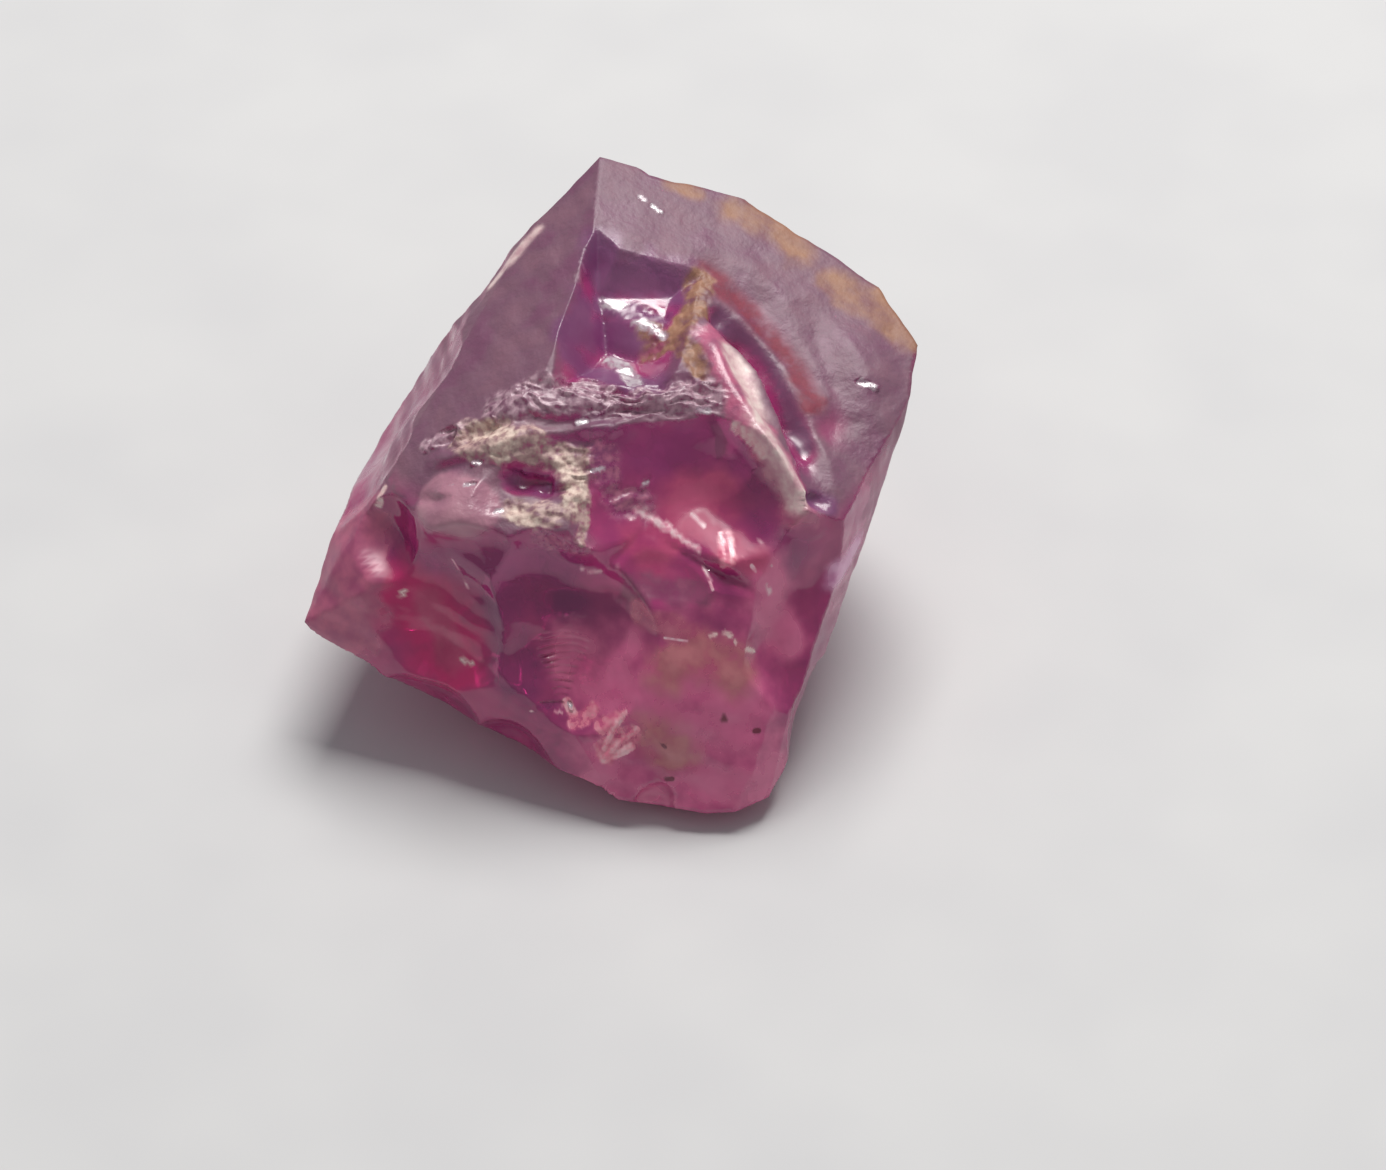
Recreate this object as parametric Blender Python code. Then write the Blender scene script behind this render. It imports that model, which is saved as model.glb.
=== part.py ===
"""A raw spinel crystal, about 7.7 mm across: a broken, misshapen octahedron.

The crystal is one solid. Its outer form is the hull of named corners, which gives the growth
faces and their straight ridges. Steps, conchoidal scoops, a curved furrow and chips are then
cut into that form. Each cut is worked out along rays from the heart of the crystal, so the
skin always stays closed. Lengths are in millimetres until the mesh is made.
"""
import bmesh
import bpy
import numpy as np
from mathutils import Vector, noise

# Driving dimensions. The rays of the skin start at the heart. The hull reaches a little below
# the resting face, which is then cut level, and points that end up near that face are put on it
MM = 0.001
NAME = "spinel_crystal"
HEART = np.array((0.1, 0.5, 1.7))
SKIN_EDGE = 0.07
TRIANGLES = 9400
REST_DEPTH = 0.12
REST_SNAP = 0.03

# Unevenness: the worn skin's relief, and how far the cuts sway from true planes and bowls
WEAR = 0.018
WEAR_SIZE = 0.55
SWAY = 0.16
SWAY_SIZE = 0.85
STEP_SWAY = 0.5
SWAY_SEED = 1

# A furrow's flanks reach this many half widths out, and its ends rise over the taper
FLANK = 1.6
TAPER = 2.0
END_DEPTH = 0.4

# Corners of the outer form: x to the right, y away from the viewer, z up
CREST = {
    "apex": (-0.18, 2.94, 5.30),
    "crest_near": (0.64, 2.91, 5.05),
    "crest_middle": (1.66, 2.78, 4.75),
    "shoulder": (3.37, 1.89, 4.05),
    "right_corner": (3.84, 1.09, 3.76),
}
LEFT_FACES = {
    "ridge_top": (-0.28, 1.21, 5.04),
    "ridge_middle": (-0.82, -0.32, 4.55),
    "ridge_low": (-1.12, -0.64, 4.34),
    "ridge_end": (-2.63, -0.66, 3.46),
    "left_top": (-1.06, 2.26, 4.71),
    "left_back_high": (-1.74, 2.10, 3.88),
    "left_back_low": (-2.28, 1.56, 3.40),
    "left_corner": (-3.38, -0.80, 2.68),
}
FRONT = {
    "tongue_top": (-2.89, -1.15, 3.15),
    "tongue_end": (-1.84, -2.14, 3.30),
    "crust_end": (-0.13, -1.99, 3.50),
    "knee": (1.31, -0.72, 4.33),
    "front_ridge": (1.76, -1.16, 4.12),
    "front_ridge_low": (2.18, -1.76, 3.70),
    "front_ridge_end": (2.67, -2.03, 3.20),
}
RIM = {
    "left_tip": (-3.84, -1.81, 1.70),
    "left_tip_low": (-3.65, -1.91, 1.45),
    "middle_rim": (-0.52, -3.33, 0.70),
    "front_rim": (0.00, -3.60, 0.40),
    "toe_left": (1.15, -3.75, 0.28),
    "toe": (1.52, -3.75, 0.30),
    "toe_side": (1.94, -3.50, 0.32),
    "toe_right": (2.12, -3.20, 0.45),
    "right_rim_middle": (2.99, -1.27, 2.00),
    "right_rim_high": (3.40, -0.50, 2.90),
    "right_rim_top": (3.72, 0.31, 3.60),
}
BACK = {
    "back_left": (-1.90, 2.60, 3.05),
    "back_middle": (0.20, 3.75, 2.75),
    "back_right": (2.30, 3.00, 2.55),
    "right_back": (3.30, 1.90, 2.55),
    "left_back": (-3.15, 0.80, 2.10),
    "left_low": (-3.45, -0.60, 1.45),
    "under_back": (0.30, 2.80, 0.90),
    "under_left": (-2.20, 0.80, 0.80),
}
REST = {
    "rest_front_left": (-0.90, -2.20),
    "rest_front": (0.90, -3.25),
    "rest_front_right": (1.90, -2.60),
    "rest_right": (2.10, -0.60),
    "rest_back_right": (1.40, 1.20),
    "rest_back_left": (-0.30, 1.80),
    "rest_left": (-1.40, 0.20),
}

# Conchoidal scoops: a point on the skin, the way the scoop faces, its radius, its depth
# and how many times longer it is along an axis
SCOOPS = {
    "left_pocket": ((-2.27, -2.20, 2.36), (-0.22, -0.93, 0.30), 1.00, 0.32, (-0.1, 0, 1), 1.20),
    "tongue_side": ((-2.70, -1.48, 3.00), (-0.45, -0.78, 0.42), 0.40, 0.16, (-0.3, 0, 1), 1.30),
    "middle_scoop": ((-0.78, -2.62, 2.32), (0.10, -0.88, 0.46), 1.12, 0.40, (-0.3, 0.2, 1), 1.15),
    "ridge_hollow": ((1.02, -1.55, 3.75), (-0.05, -0.72, 0.70), 1.18, 0.42, (1, 0, -0.3), 1.22),
    "red_hollow": ((0.60, -2.10, 3.15), (0.10, -0.85, 0.50), 0.62, 0.20, (1, 0, -0.2), 1.25),
    "right_hollow": ((2.15, -2.35, 2.55), (0.50, -0.78, 0.38), 0.95, 0.20, (0.2, 0, 1), 1.30),
    "under_tongue": ((-1.90, -2.14, 3.02), (-0.20, -0.90, 0.38), 0.56, 0.26, (1, -0.3, 0), 1.40),
    "crust_dip": ((-0.75, -1.45, 3.84), (-0.05, -0.55, 0.83), 0.70, 0.12, (1, 0, 0), 1.30),
    "crust_pit": ((-0.97, -1.45, 3.70), (-0.05, -0.55, 0.83), 0.25, 0.12, (1, 0, 0), 1.40),
    "rim_scallop_a": ((-2.55, -2.45, 1.05), (-0.20, -0.75, -0.62), 0.62, 0.20, (1, -0.3, -0.2), 1.10),
    "rim_scallop_b": ((-1.35, -2.98, 0.83), (-0.15, -0.80, -0.58), 0.52, 0.17, (1, -0.3, -0.2), 1.00),
    "rim_notch": ((0.55, -3.62, 0.42), (0.10, -0.90, -0.42), 0.26, 0.15, (1, 0, 0), 1.00),
    "right_rim_scallop": ((2.42, -2.45, 0.85), (0.90, -0.42, -0.12), 0.62, 0.15, (0, 0.5, 1), 1.10),
    "left_shoulder_dip": ((-2.78, 0.30, 3.10), (-0.78, 0.18, 0.60), 1.35, 0.13, (0, 1, 0), 1.20),
    "lobe_notch": ((2.50, -1.62, 3.48), (0.40, -0.60, 0.70), 0.20, 0.10, (1, 0, 0), 1.50),
    "back_bowl": ((0.75, 3.35, 3.90), (0.10, 0.92, 0.40), 1.25, 0.32, (1, 0, 0), 1.15),
    "back_shell": ((-0.95, 2.95, 1.95), (-0.35, 0.85, -0.30), 1.15, 0.26, (0.4, 0, 1), 1.10),
    "back_right_bowl": ((2.35, 2.40, 1.85), (0.55, 0.65, -0.50), 1.10, 0.22, (0, 0.3, 1), 1.15),
    "right_under_bowl": ((2.85, 0.10, 1.75), (0.82, -0.10, -0.55), 1.25, 0.26, (0, 1, 0.3), 1.15),
    "left_under_bowl": ((-2.75, -0.75, 1.00), (-0.60, -0.15, -0.78), 1.00, 0.20, (0, 1, 0), 1.15),
    "front_under_bowl": ((-0.95, -2.75, 0.40), (-0.25, -0.55, -0.80), 0.60, 0.12, (1, -0.4, 0), 1.30),
}

# Steps: a notch is what lies on the outer side of all of its planes, each a point and a normal
NOTCHES = {
    "first_step": (
        ((0.30, 1.50, 4.95), (0.18, -0.74, 0.64)),
        ((0.20, 0.60, 4.46), (0.10, -0.12, 0.99)),
        ((-0.44, 0.60, 4.86), (0.90, -0.28, 0.34)),
        ((1.00, 0.70, 4.66), (-0.52, 0.05, 0.85)),
    ),
    "second_step": (
        ((0.20, 0.82, 4.52), (-0.34, -0.58, 0.74)),
        ((-0.20, 0.10, 4.15), (0.00, 0.10, 0.99)),
        ((-0.20, -0.52, 4.43), (0.03, 0.42, 0.91)),
        ((-0.72, -0.10, 4.64), (0.76, -0.34, 0.56)),
        ((0.78, 0.00, 4.50), (-0.62, -0.10, 0.78)),
    ),
    "band_step": (
        ((-0.30, -0.92, 4.20), (0.05, -0.80, 0.60)),
        ((-0.30, -1.25, 3.92), (-0.06, -0.42, 0.91)),
        ((-0.08, -1.30, 3.92), (-0.74, -0.26, 0.62)),
        ((-2.00, -1.20, 3.66), (0.60, -0.30, 0.74)),
    ),
    "left_chip": (
        ((-1.22, 2.30, 4.50), (-0.80, 0.45, 0.40)),
    ),
    "crack_flake": (
        ((0.70, -1.80, 3.22), (-0.45, -0.80, -0.05)),
        ((0.45, -2.05, 2.94), (0.05, -0.40, 0.91)),
        ((0.02, -1.98, 3.12), (0.62, -0.70, 0.36)),
    ),
    "lip_flake": (
        ((-0.20, -3.10, 1.42), (-0.15, -0.75, 0.64)),
        ((-0.20, -3.02, 1.60), (0.10, -0.99, -0.05)),
    ),
}

# Furrows and ribs: a route over the skin, half its width and its depth, below zero for a rib
FURROWS = {
    "curved_furrow": (
        ((1.40, 0.70, 4.52), (1.72, 0.44, 4.38), (2.00, 0.14, 4.24),
         (2.20, -0.34, 4.10), (2.42, -0.94, 3.86)),
        0.18, 0.44,
    ),
    "red_slope": (
        ((1.34, 1.42, 4.62), (1.80, 1.05, 4.45), (2.12, 0.62, 4.28),
         (2.44, 0.12, 4.10), (2.66, -0.35, 3.92)),
        0.30, 0.15,
    ),
    "furrow_rib": (
        ((1.10, 0.36, 4.54), (1.40, -0.44, 4.36), (1.72, -0.98, 4.16),
         (2.12, -1.58, 3.78), (2.50, -1.96, 3.34)),
        0.19, -0.18,
    ),
    "furrow_end": (
        ((2.34, -0.80, 3.94), (2.48, -1.15, 3.76), (2.50, -1.50, 3.58)),
        0.20, 0.16,
    ),
    "lobe_groove": (
        ((2.45, 1.10, 4.20), (2.80, 0.35, 4.02), (3.00, -0.25, 3.84)),
        0.20, 0.10,
    ),
    "band_crease": (
        ((-2.00, -0.80, 3.82), (-1.30, -0.82, 4.14), (-0.40, -0.86, 4.25),
         (0.30, -0.78, 4.30), (1.00, -0.72, 4.32)),
        0.11, 0.09,
    ),
    "band_crease_high": (
        ((-1.05, -0.50, 4.38), (-0.40, -0.44, 4.40), (0.35, -0.52, 4.38), (0.90, -0.40, 4.42)),
        0.09, 0.07,
    ),
    "band_rib": (
        ((-2.20, -0.98, 3.62), (-1.50, -1.06, 3.98), (-0.70, -1.02, 4.12), (0.10, -0.96, 4.18)),
        0.10, -0.07,
    ),
    "crust_crease": (
        ((-1.30, -1.35, 3.80), (-0.85, -1.62, 3.66), (-0.30, -1.50, 3.70)),
        0.10, 0.10,
    ),
    "tongue_crease": (
        ((-2.38, -1.30, 3.30), (-2.16, -1.44, 3.40), (-1.92, -1.56, 3.50)),
        0.07, 0.07,
    ),
}

# Swellings: a point on the skin, its radius and its height, below zero for a soft dip
SWELLINGS = {
    "cloud_bulge": ((1.10, -3.00, 1.60), 1.15, 0.16),
    "toe_bulge": ((1.60, -3.40, 0.80), 0.60, 0.07),
    "lobe_swell": ((3.05, 0.55, 3.95), 0.75, 0.10),
    "lobe_dip": ((2.80, -0.62, 3.72), 0.80, -0.12),
    "tongue_pad": ((-1.92, -1.66, 3.46), 0.62, 0.17),
    "crust_mound": ((-1.15, -1.10, 3.96), 0.42, 0.07),
    "crust_edge": ((-0.50, -1.55, 3.72), 0.30, 0.07),
    "left_face_swell": ((-3.30, -1.50, 2.40), 0.60, 0.06),
    "back_swell": ((1.60, 3.00, 2.70), 0.90, 0.08),
}


def unit(vector):
    """Return the vector at length one."""
    vector = np.asarray(vector, float)
    return vector / np.linalg.norm(vector)


def smooth_step(value):
    """Ease a value between zero and one, and hold it there outside that range."""
    value = np.clip(value, 0.0, 1.0)
    return value * value * (3.0 - 2.0 * value)


def clear_scene():
    """Remove every object of the scene."""
    for item in list(bpy.data.objects):
        bpy.data.objects.remove(item, do_unlink=True)


def outer_form():
    """Return the hull of the named corners as a bmesh, in millimetres."""
    corners = []
    for group in (CREST, LEFT_FACES, FRONT, RIM, BACK):
        corners.extend(group.values())
    corners.extend((x, y, -REST_DEPTH) for x, y in REST.values())
    form = bmesh.new()
    for corner in corners:
        form.verts.new(corner)
    hull = bmesh.ops.convex_hull(form, input=form.verts)
    spare = [item for item in hull["geom_interior"] if isinstance(item, bmesh.types.BMVert)]
    bmesh.ops.delete(form, geom=spare, context="VERTS")
    return form


def refine(form, longest, rounds=6):
    """Split the edges longer than the given length, a few times over."""
    for _ in range(rounds):
        split = [edge for edge in form.edges if edge.calc_length() > longest]
        if split:
            bmesh.ops.subdivide_edges(form, edges=split, cuts=1, use_single_edge=True)
            bmesh.ops.triangulate(form, faces=form.faces)


class Skin:
    """The crystal's skin as distances from its heart, along one ray for each vertex."""

    def __init__(self, points):
        offset = np.asarray(points, float) - HEART
        self.reach = np.linalg.norm(offset, axis=1)
        self.ray = offset / self.reach[:, None]
        noise.seed_set(SWAY_SEED)
        drift = [noise.noise_vector(Vector(point) / SWAY_SIZE) for point in self.points()]
        self.sway = SWAY * np.array(drift)

    def points(self):
        """Return the skin's points."""
        return HEART + self.ray * self.reach[:, None]

    def plane_reach(self, point, normal):
        """Return where each ray leaves the inner side of a plane."""
        normal = unit(normal)
        toward = self.ray @ normal
        height = (np.asarray(point) - HEART + STEP_SWAY * self.sway) @ normal
        return np.where(toward > 1e-6, height / np.maximum(toward, 1e-6), np.inf)

    def notch(self, planes):
        """Cut away what lies on the outer side of all the planes."""
        floor = np.zeros(len(self.reach))
        for point, normal in planes:
            floor = np.maximum(floor, self.plane_reach(point, normal))
        self.reach = np.minimum(self.reach, floor)

    def scoop(self, point, facing, radius, depth, axis, stretch):
        """Cut a shallow bowl into the skin, stretched along an axis."""
        facing = unit(facing)
        bend = (radius ** 2 + depth ** 2) / (2.0 * depth)
        middle = np.asarray(point) + facing * (bend - depth)
        along = unit(np.asarray(axis) - facing * (np.asarray(axis) @ facing))
        squeeze = np.eye(3) + (1.0 / stretch - 1.0) * np.outer(along, along)
        ray = self.ray @ squeeze
        start = (HEART - middle + self.sway) @ squeeze
        square = np.einsum("ij,ij->i", ray, ray)
        half = np.einsum("ij,ij->i", ray, start)
        rest = half ** 2 - square * (np.einsum("ij,ij->i", start, start) - bend ** 2)
        entry = (-half - np.sqrt(np.maximum(rest, 0.0))) / square
        self.reach = np.where((rest > 0.0) & (half < 0.0), np.minimum(self.reach, entry), self.reach)

    def furrow(self, route, width, depth):
        """Press a furrow that tapers along a route, or raise a rib where the depth is negative."""
        points = self.points()
        nearest = np.full(len(points), np.inf)
        for start, end in zip(route, route[1:]):
            start = np.asarray(start)
            run = np.asarray(end) - start
            place = np.clip((points - start) @ run / (run @ run), 0.0, 1.0)
            gap = np.linalg.norm(points - start - place[:, None] * run, axis=1)
            nearest = np.minimum(nearest, gap)
        first = np.linalg.norm(points - route[0], axis=1)
        last = np.linalg.norm(points - route[-1], axis=1)
        inward = smooth_step(np.minimum(first, last) / (TAPER * width))
        taper = END_DEPTH + (1.0 - END_DEPTH) * inward
        self.reach -= depth * taper * smooth_step(1.0 - nearest / (FLANK * width))

    def swell(self, point, radius, height):
        """Raise a low rounded bulge."""
        gap = np.linalg.norm(self.points() - np.asarray(point), axis=1)
        self.reach += height * smooth_step(1.0 - gap / radius)

    def roughen(self, height, size, octaves):
        """Add uneven relief with features of about the given size."""
        relief = [noise.fractal(Vector(point) / size, 1.0, 2.1, octaves) for point in self.points()]
        self.reach += height * np.array(relief)


def carve(skin):
    """Cut every named form into the skin."""
    for planes in NOTCHES.values():
        skin.notch(planes)
    for scoop in SCOOPS.values():
        skin.scoop(*scoop)
    for furrow in FURROWS.values():
        skin.furrow(*furrow)
    for swelling in SWELLINGS.values():
        skin.swell(*swelling)
    skin.roughen(WEAR, WEAR_SIZE, 4)
    skin.sway[:] = 0.0
    skin.notch([((0, 0, 0), (0, 0, -1))])


def level_rest(form):
    """Set the points of the resting face exactly on z = 0."""
    for vertex in form.verts:
        if vertex.co.z < REST_SNAP:
            vertex.co.z = 0.0


def thin_out(mesh, triangles):
    """Return the mesh reduced to about the given number of triangles."""
    helper = bpy.data.objects.new("helper", mesh)
    bpy.context.scene.collection.objects.link(helper)
    reduce = helper.modifiers.new("reduce", "DECIMATE")
    reduce.ratio = triangles / len(mesh.polygons)
    view = bpy.context.evaluated_depsgraph_get()
    result = bpy.data.meshes.new_from_object(helper.evaluated_get(view))
    bpy.data.objects.remove(helper, do_unlink=True)
    return result


def crystal_mesh():
    """Return the crystal as one closed mesh in metres, resting on z = 0."""
    form = outer_form()
    refine(form, SKIN_EDGE)
    skin = Skin([vertex.co for vertex in form.verts])
    carve(skin)
    for vertex, point in zip(form.verts, skin.points()):
        vertex.co = point
    mesh = bpy.data.meshes.new("carved")
    form.to_mesh(mesh)
    form.free()
    mesh = thin_out(mesh, TRIANGLES)

    solid = bmesh.new()
    solid.from_mesh(mesh)
    level_rest(solid)
    bmesh.ops.scale(solid, vec=(MM, MM, MM), verts=solid.verts)
    bmesh.ops.recalc_face_normals(solid, faces=solid.faces)
    mesh.clear_geometry()
    solid.to_mesh(mesh)
    solid.free()
    mesh.name = NAME
    return mesh


def crystal_material():
    """Return clear spinel of a pinkish purple."""
    material = bpy.data.materials.new("pink_purple_spinel")
    material.use_nodes = True
    surface = material.node_tree.nodes["Principled BSDF"]
    surface.inputs["Base Color"].default_value = (0.62, 0.16, 0.36, 1.0)
    surface.inputs["Roughness"].default_value = 0.22
    surface.inputs["Metallic"].default_value = 0.0
    surface.inputs["IOR"].default_value = 1.718
    surface.inputs["Transmission Weight"].default_value = 0.75
    return material


def main():
    """Build the crystal."""
    clear_scene()
    mesh = crystal_mesh()
    mesh.materials.append(crystal_material())
    crystal = bpy.data.objects.new(NAME, mesh)
    bpy.context.scene.collection.objects.link(crystal)


main()
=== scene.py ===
"""The looks of a raw spinel crystal, about 7.7 mm across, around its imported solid.

One clear piece stands for the solid. It has the same corners, steps, scoops and furrows, with a
finer skin and the small relief on top: wrinkles, crust, ripples, flakes and flashing facets. Its
finish is a stack of layers, and each layer follows a mask that is worked out on that skin.
Forms are in millimetres, and the frame is in metres.
"""
import math

import bmesh
import bpy
import numpy as np
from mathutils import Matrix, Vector, noise
from mathutils.bvhtree import BVHTree


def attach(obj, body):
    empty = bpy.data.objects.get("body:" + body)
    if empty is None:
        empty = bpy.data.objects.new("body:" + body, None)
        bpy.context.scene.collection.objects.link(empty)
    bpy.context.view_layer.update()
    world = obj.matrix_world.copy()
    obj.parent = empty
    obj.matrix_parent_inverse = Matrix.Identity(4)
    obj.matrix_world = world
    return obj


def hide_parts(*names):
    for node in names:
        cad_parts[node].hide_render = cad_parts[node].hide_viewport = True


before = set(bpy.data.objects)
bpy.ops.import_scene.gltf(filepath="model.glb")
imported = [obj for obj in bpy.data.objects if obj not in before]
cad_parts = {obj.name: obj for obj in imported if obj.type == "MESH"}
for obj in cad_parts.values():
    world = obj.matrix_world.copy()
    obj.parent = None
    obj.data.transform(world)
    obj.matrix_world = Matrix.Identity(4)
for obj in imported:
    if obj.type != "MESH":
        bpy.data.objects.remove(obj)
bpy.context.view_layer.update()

# Driving dimensions, in millimetres as in the solid
MM = 0.001
HEART = np.array((0.1, 0.5, 1.7))
REST_DEPTH = 0.12
WEAR = 0.018
WEAR_SIZE = 0.55
SWAY = 0.16
SWAY_SIZE = 0.85
STEP_SWAY = 0.5
SWAY_SEED = 1
FLANK = 1.6
TAPER = 2.0
END_DEPTH = 0.4

# How fast the octaves of the noise fade and shrink, and what stands in for zero in a division
FRACTAL_FALL = 1.0
FRACTAL_STEP = 2.1
TINY = 1e-6

# The photograph's frame and the camera that matches it
PHOTO = (1386, 1170)
CAMERA_ELEVATION = 43.0
CAMERA_DISTANCE = 60.0
CAMERA_TARGET = np.array((1.00, -1.35, 1.90))
CAMERA_CLIP = (0.001, 10.0)
FOCAL_PIXELS = 4800.0
SENSOR = 36.0

# How fine the skin is, as the longest edge: everywhere, where the camera sees it, within a margin
# of the patches with small relief, and on the coarse skin that the patches are placed on
EDGE_HIDDEN = 0.150
EDGE_SEEN = 0.074
SEEN_FACING = -0.05
EDGE_FINE = 0.032
FINE_MARGIN = 0.12
EDGE_FINEST = 0.020
FINEST_MARGIN = 0.05
REFINE_ROUNDS = 9
EDGE_COARSE = 0.16
COARSE_ROUNDS = 5

# Corners of the outer form: x to the right, y away from the viewer, z up
CREST = {
    "apex": (-0.18, 2.94, 5.30),
    "crest_near": (0.64, 2.91, 5.05),
    "crest_middle": (1.66, 2.78, 4.75),
    "shoulder": (3.37, 1.89, 4.05),
    "right_corner": (3.84, 1.09, 3.76),
}
LEFT_FACES = {
    "ridge_top": (-0.28, 1.21, 5.04),
    "ridge_middle": (-0.82, -0.32, 4.55),
    "ridge_low": (-1.12, -0.64, 4.34),
    "ridge_end": (-2.63, -0.66, 3.46),
    "left_top": (-1.06, 2.26, 4.71),
    "left_back_high": (-1.74, 2.10, 3.88),
    "left_back_low": (-2.28, 1.56, 3.40),
    "left_corner": (-3.38, -0.80, 2.68),
}
FRONT = {
    "tongue_top": (-2.89, -1.15, 3.15),
    "tongue_end": (-1.84, -2.14, 3.30),
    "crust_end": (-0.13, -1.99, 3.50),
    "knee": (1.31, -0.72, 4.33),
    "front_ridge": (1.76, -1.16, 4.12),
    "front_ridge_low": (2.18, -1.76, 3.70),
    "front_ridge_end": (2.67, -2.03, 3.20),
}
RIM = {
    "left_tip": (-3.84, -1.81, 1.70),
    "left_tip_low": (-3.65, -1.91, 1.45),
    "middle_rim": (-0.52, -3.33, 0.70),
    "front_rim": (0.00, -3.60, 0.40),
    "toe_left": (1.15, -3.75, 0.28),
    "toe": (1.52, -3.75, 0.30),
    "toe_side": (1.94, -3.50, 0.32),
    "toe_right": (2.12, -3.20, 0.45),
    "right_rim_middle": (2.99, -1.27, 2.00),
    "right_rim_high": (3.40, -0.50, 2.90),
    "right_rim_top": (3.72, 0.31, 3.60),
}
BACK = {
    "back_left": (-1.90, 2.60, 3.05),
    "back_middle": (0.20, 3.75, 2.75),
    "back_right": (2.30, 3.00, 2.55),
    "right_back": (3.30, 1.90, 2.55),
    "left_back": (-3.15, 0.80, 2.10),
    "left_low": (-3.45, -0.60, 1.45),
    "under_back": (0.30, 2.80, 0.90),
    "under_left": (-2.20, 0.80, 0.80),
}
REST = {
    "rest_front_left": (-0.90, -2.20),
    "rest_front": (0.90, -3.25),
    "rest_front_right": (1.90, -2.60),
    "rest_right": (2.10, -0.60),
    "rest_back_right": (1.40, 1.20),
    "rest_back_left": (-0.30, 1.80),
    "rest_left": (-1.40, 0.20),
}

# Conchoidal scoops: a point on the skin, the way the scoop faces, its radius, its depth
# and how many times longer it is along an axis
SCOOPS = {
    "left_pocket": ((-2.27, -2.20, 2.36), (-0.22, -0.93, 0.30), 1.00, 0.32, (-0.1, 0, 1), 1.20),
    "tongue_side": ((-2.70, -1.48, 3.00), (-0.45, -0.78, 0.42), 0.40, 0.16, (-0.3, 0, 1), 1.30),
    "middle_scoop": ((-0.78, -2.62, 2.32), (0.10, -0.88, 0.46), 1.12, 0.40, (-0.3, 0.2, 1), 1.15),
    "ridge_hollow": ((1.02, -1.55, 3.75), (-0.05, -0.72, 0.70), 1.18, 0.42, (1, 0, -0.3), 1.22),
    "red_hollow": ((0.60, -2.10, 3.15), (0.10, -0.85, 0.50), 0.62, 0.20, (1, 0, -0.2), 1.25),
    "right_hollow": ((2.15, -2.35, 2.55), (0.50, -0.78, 0.38), 0.95, 0.20, (0.2, 0, 1), 1.30),
    "under_tongue": ((-1.90, -2.14, 3.02), (-0.20, -0.90, 0.38), 0.56, 0.26, (1, -0.3, 0), 1.40),
    "crust_dip": ((-0.75, -1.45, 3.84), (-0.05, -0.55, 0.83), 0.70, 0.12, (1, 0, 0), 1.30),
    "crust_pit": ((-0.97, -1.45, 3.70), (-0.05, -0.55, 0.83), 0.25, 0.12, (1, 0, 0), 1.40),
    "rim_scallop_a": ((-2.55, -2.45, 1.05), (-0.20, -0.75, -0.62), 0.62, 0.20, (1, -0.3, -0.2), 1.10),
    "rim_scallop_b": ((-1.35, -2.98, 0.83), (-0.15, -0.80, -0.58), 0.52, 0.17, (1, -0.3, -0.2), 1.00),
    "rim_notch": ((0.55, -3.62, 0.42), (0.10, -0.90, -0.42), 0.26, 0.15, (1, 0, 0), 1.00),
    "right_rim_scallop": ((2.42, -2.45, 0.85), (0.90, -0.42, -0.12), 0.62, 0.15, (0, 0.5, 1), 1.10),
    "left_shoulder_dip": ((-2.78, 0.30, 3.10), (-0.78, 0.18, 0.60), 1.35, 0.13, (0, 1, 0), 1.20),
    "lobe_notch": ((2.50, -1.62, 3.48), (0.40, -0.60, 0.70), 0.20, 0.10, (1, 0, 0), 1.50),
    "back_bowl": ((0.75, 3.35, 3.90), (0.10, 0.92, 0.40), 1.25, 0.32, (1, 0, 0), 1.15),
    "back_shell": ((-0.95, 2.95, 1.95), (-0.35, 0.85, -0.30), 1.15, 0.26, (0.4, 0, 1), 1.10),
    "back_right_bowl": ((2.35, 2.40, 1.85), (0.55, 0.65, -0.50), 1.10, 0.22, (0, 0.3, 1), 1.15),
    "right_under_bowl": ((2.85, 0.10, 1.75), (0.82, -0.10, -0.55), 1.25, 0.26, (0, 1, 0.3), 1.15),
    "left_under_bowl": ((-2.75, -0.75, 1.00), (-0.60, -0.15, -0.78), 1.00, 0.20, (0, 1, 0), 1.15),
    "front_under_bowl": ((-0.95, -2.75, 0.40), (-0.25, -0.55, -0.80), 0.60, 0.12, (1, -0.4, 0), 1.30),
}

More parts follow.
